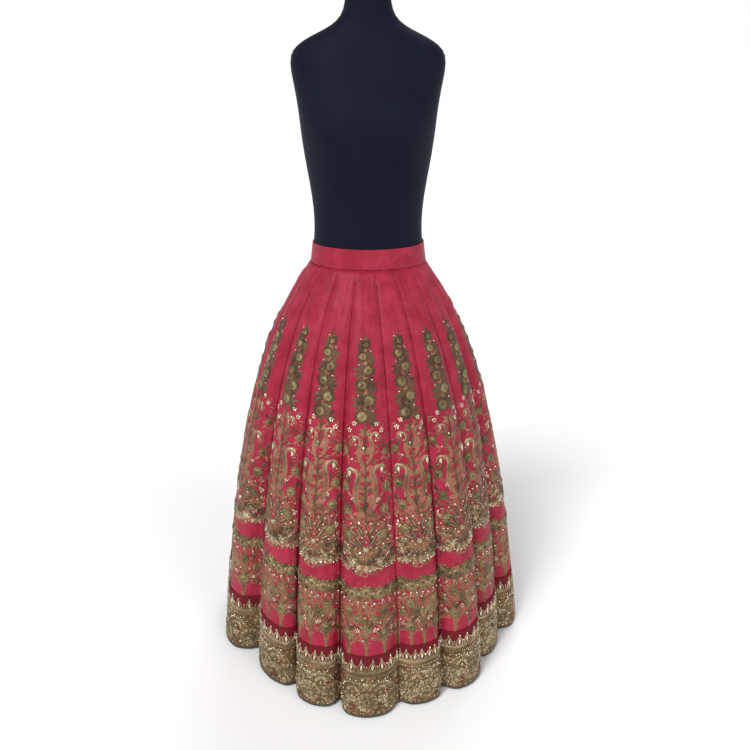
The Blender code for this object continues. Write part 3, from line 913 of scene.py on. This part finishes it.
work_pair(spangle_flower(4.8), 0.24, 228)
work_pair(spangle_flower(4.4), 0.76, 222)
bare = [(across, up, reach + 4) for across in (-0.75, -0.25, 0.25, 0.75) for up in (spring, 172)]
balls = both_sides((0.5, 214, 15), (0.5, 276, 12), (0.26, 256, 12), (0.80, 250, 11))
netting = [
    leaf(14, 5.4, 1.1, ROSE, steps=4),
    leaf(13, 5.2, 1.1, ROSE, 60, steps=4),
    leaf(12, 5.2, 1.2, BRONZE, steps=4),
    leaf(12, 5.0, 1.2, BRONZE, -50, steps=4),
    leaf(11, 4.6, 1.2, GOLD, steps=4),
]
fill(204, 306, 11, netting, bare + balls, draws, odds=0.75)
fill(204, 306, 24, spangles, bare + balls, draws)

# A garland of balls over the trees, with dark leaves in the gaps and bright beads under it
for across in np.linspace(-0.80, 0.80, 5):
    work(ball(17.5, GOLD, BRONZE), across, 323 + draws.uniform(-3, 3), draws.uniform(0, 40))
for across in np.linspace(-1.0, 1.0, 6):
    for up, turn in ((308, -40), (308, 40), (338, 140), (338, -140), (323, 0), (323, 180)):
        work(leaf(18, 10, 1.6, BRONZE), across, up, turn)
    work(knot(4.0, 3.0, PALE, 7), across, 323)
for across in np.linspace(-0.94, 0.94, 9):
    work(knot(2.6, 1.9, GLINT, 5), across, 301 + draws.uniform(-5, 3))
    work(leaf(9, 4.4, 1.5, PALE, steps=4), across, 300, 180 + draws.uniform(-40, 40))
    work(knot(2.2, 1.7, ROSE, 5), across, 345 + draws.uniform(-2, 2))

# Fans that hang over the garland, a great one down the middle and a small one on each side,
# with a crown of leaves over each and no silk to be seen between them
work(fan(54, 9, 160, (PALE, OLIVE, BRONZE, GOLD)), 0.0, 430, 180)
crown_leaf = together(leaf(42, 14, 1.9, BRONZE, 30), placed(leaf(30, 4.5, 2.8, PALE, 26), (0, 4)))
for across, up, turn in (
    (0.10, 432, -18), (0.20, 432, -44), (0.32, 428, -72), (0.08, 456, -12), (0.22, 456, -40),
):
    work_pair(crown_leaf, across, up, turn)
work_pair(fan(34, 6, 150, (PALE, OLIVE, BRONZE)), 0.74, 414, 180)
work_pair(spray(5, 34, 11, 130, (ROSE, BRONZE, GOLD)), 0.74, 414)
work_pair(ball(11.5, OLIVE, GOLD), 0.58, 462)
work_pair(spangle_flower(5.0), 0.40, 398)
work_pair(spangle_flower(4.4), 0.84, 470)
off = [(0, 362, 16), *both_sides((0.42, 360, 16), (0.58, 462, 13))]
fill(380, 505, 9.5, netting, off, draws, odds=0.8)
fill(380, 505, 16, spangles, off, draws)

# Lyres of two swelling arms that rise from one foot and hook over about a ring, a column of
# leaves between them, balls and leaves outside, and open silk with spangles above
arm = chained((46, -52), (44, -24), (30, 118), (20, 96))
at = np.linspace(0, 1, len(arm))
swell = np.interp(at, (0, 0.3, 0.55, 0.75, 1), (8, 19, 16, 12, 4))
lyre = together(
    strip(arm, swell, 1.7, ROSE),
    strip(arm[2:-1], swell[2:-1] * 0.5, 2.8, GOLD),
    strip(arm[9:-2] + (0, 3.5), np.interp(at[9:-2], (0.4, 0.75, 1), (2, 8, 4)), 3.0, PALE),
    placed(leaf(18, 9.5, 3.2, GLINT, 60), arm[-6] + (0, 3), -90),
)
for size, foot, tip_ring in ((1.0, 520, 8.5), (0.66, 628, 6.5)):
    for lower, mirror in ((0, False), (9, True)):
        work(placed(lyre, turn=-56), 0.0, foot - lower, size=size, mirror=mirror)
        ring = together(hoop(tip_ring, 2.6, 1.6, ROSE), knot(tip_ring * 0.4, 2.0, PALE, 6))
        work(placed(ring, (44 * size, 84 * size)), 0.0, foot - lower, mirror=mirror)
work(strip(arc(236, 0, 12), np.linspace(5, 2.6, 12), 1.3, BRONZE), 0.0, 480)
for up, size in ((508, 44), (540, 30), (564, 26), (588, 24), (612, 22), (650, 30), (690, 24)):
    work(spray(5, size, size * 0.36, 130, (ROSE, GOLD, BRONZE)), 0.0, up)
for across, up, size in ((0.64, 520, 12.5), (0.74, 572, 11.5), (0.80, 652, 9.5)):
    work_pair(ball(size, OLIVE, BRONZE), across, up)
    for lean in (-36, 36, 144, 216):
        blade = leaf(size * 1.5, size * 0.75, 1.6, BRONZE if lean < 90 else ROSE, 20)
        work_pair(placed(blade, toward(-lean, size), lean), across, up)
for across, up in ((0.42, 545), (0.64, 700), (0.44, 716)):
    work_pair(spangle_flower(4.4), across, up)
arms = both_sides((0.45, 545, 20), (0.45, 575, 20), (0.45, 605, 20))
fill(500, 640, 11, netting, arms, draws, odds=0.9)
fill(640, 712, 12, netting + spangles[:1], [], draws, odds=0.7)

# A spray of round flowers that runs out to a tip below the plain silk
work(strip(arc(180, 0, 12), 3.0, 1.0, BRONZE), 0.0, 715)
for up, shift, size in (
    (732, -7, 17.5), (766, 8, 17), (800, -7, 16), (832, 6, 15), (862, -5, 13), (888, 2, 10),
):
    work(spray(5, size * 1.9, size * 0.85, 160, (BRONZE, BRONZE, GOLD)), 0.0, up + 2)
    work(placed(ball(size, BRONZE, GOLD), (shift, 0)), 0.0, up)
    side = -math.copysign(1, shift)
    for lean in (-40, 0, 40, 80):
        blade = leaf(size * 1.5, size * 0.7, 1.7, BRONZE, 20 * side)
        work(placed(blade, (side * size * 0.35, -5), -side * (60 + lean)), 0.0, up)
    work(placed(knot(2.2, 2.2, GLINT, 5), (side * size * 0.9, 12)), 0.0, up)
work(leaf(17, 8, 1.6, BRONZE), 0.0, 893)


# Zari is a cotton core wound with gilt metal strip, so it is half metal: dull, with painted shade
# darkening its grooves and its rounds bright. Stitches lie 1.2 mm apart, twice the real pitch.
def zari(name, shade_and_tarnish, light, metallic, roughness):
    """Metal thread, in satin stitch across a form or in the twist of a couched cord."""
    finish, shader, add = new_finish(name, Metallic=metallic, Roughness=roughness, IOR=1.5)
    threads = add("UVMap", uv_map="threads")
    stitches = add(
        "TexWave", bands_direction="DIAGONAL", Scale=bands(0.85), Distortion=0.8, Vector=threads
    ).outputs["Fac"]
    wear = add("TexNoise", Scale=grains(34), Detail=3.0, Vector=add("TexCoord").outputs["Object"])
    # Painted shade: the stitches' grooves take the dark colour, their rounds the thread colour.
    stitch_painted_shade = add("Mix", stitches, shade_and_tarnish, light, data_type="RGBA")
    tarnish = add("MapRange", From_Min=0.46, From_Max=0.60, To_Max=0.8, Value=wear)
    worn = add("Mix", tarnish, stitch_painted_shade, shade_and_tarnish, data_type="RGBA")
    relief = add("Bump", Strength=0.5, Distance=0.0004, Height=stitches)
    feed(shader, Base_Color=worn, Normal=relief)
    return finish


# Each finish: its painted groove shade, which is also its tarnish, then its thread colour, metallic and
# roughness.
finishes = [
    zari("antique_gold_zari", "#5A432B", "#A4835A", 0.6, 0.38),
    zari("olive_gilt_zari", "#58482F", "#AC966A", 0.6, 0.38),
    zari("pale_gilt_dabka", "#7E6C4E", "#D0BE9C", 0.7, 0.34),
    zari("bronze_zari", "#422E1E", "#785A3E", 0.55, 0.42),
    zari("rose_gilt_zari", "#7A4538", "#B87A62", 0.45, 0.42),
    zari("silver_gilt_spangles", "#CFC3A4", "#F6EFDC", 0.9, 0.22),
]

pattern = together(*[form for form, _ in worked])
anchors = np.concatenate([np.full(len(form.points), across) for form, across in worked])
threads = pattern.threads.astype(np.float32) / 1000
EDGE = 0.0016  # how near to a seam the work comes

for kali, drape in zip(KALIS, drapes):
    up = pattern.points[:, 1] / 1000
    row = np.clip((1 - up / drape.length) * DOWN, 0, DOWN - 0.001)
    half = np.interp(row, np.arange(DOWN + 1), drape.half_width)
    across = np.clip(anchors * half + pattern.points[:, 0] / 1000, EDGE - half, half - EDGE)
    column = (across / half + 1) / 2 * ACROSS
    on_border = drape.points[row.astype(int), ACROSS // 2, 2] < border_top
    out = pattern.points[:, 2] / 1000 + np.where(on_border, BORDER_OUT, 0.0)
    laid = on_kali(drape, row, column, out)
    zardozi = piece_of(f"zardozi_{kali}", laid, pattern.faces, threads=threads)
    zardozi.data.polygons.foreach_set("material_index", pattern.finishes.astype(np.int32))
    zardozi.data.validate()
    finished(zardozi, "gold_border", *finishes)


# ------------------------ the studio
# A pale floor that runs to a bright horizon, under a dim white sky, with two soft suns in front
# and a weak one behind. The camera stands above waist height and looks down at the skirt.
CAMERA_AT = (0.0, -1.66, 1.42)
CAMERA_DOWN = 23
LENS = 34.59
LEFT_SHIFT = 0.0093
SKY, HORIZON = 0.22, 1.0

paper, shader, add = new_finish("white_paper_floor", Roughness=0.9)
place = add("TexCoord").outputs["Object"]
grain = add("TexNoise", Scale=grains(3), Vector=place)
tint = add("Mix", grain, "#F8F8F8", "#FDFDFD", data_type="RGBA")
feed(shader, Base_Color=tint)
bpy.ops.mesh.primitive_plane_add(size=60)
floor = bpy.context.object
floor.name = "floor"
floor.data.materials.append(paper)

world = bpy.data.worlds.new("white_room")
bpy.context.scene.world = world
world.use_nodes = True
add = partial(add_node, world)
upward = add("SeparateXYZ", Vector=add("TexCoord").outputs["Generated"])
glow = add("MapRange", From_Min=0.30, From_Max=0.50, To_Min=HORIZON, To_Max=SKY, Value=upward.outputs["Z"])
feed(world.node_tree.nodes["Background"], Color=(1, 1, 1, 1), Strength=glow)

# Each sun: how far round from the front (to the viewer's right) and up it stands, its width
# and its strength
Sun = namedtuple("Sun", "name around up width strength")
for sun in (
    Sun("key", -38, 48, 22, 2.1),
    Sun("fill", 46, 34, 40, 0.8),
    Sun("back", 165, 50, 30, 0.7),
):
    light = bpy.data.lights.new(sun.name, "SUN")
    light.angle, light.energy = math.radians(sun.width), sun.strength
    lamp = in_scene(sun.name, light)
    lamp.rotation_euler = (math.radians(90 - sun.up), 0, math.radians(sun.around))

view = bpy.data.cameras.new("camera")
view.lens, view.sensor_width, view.shift_x = LENS, 36, LEFT_SHIFT
camera = in_scene("camera", view)
camera.location = CAMERA_AT
camera.rotation_euler = (math.radians(90 - CAMERA_DOWN), 0, 0)
bpy.context.scene.camera = camera
bpy.context.scene.view_settings.view_transform = "Standard"
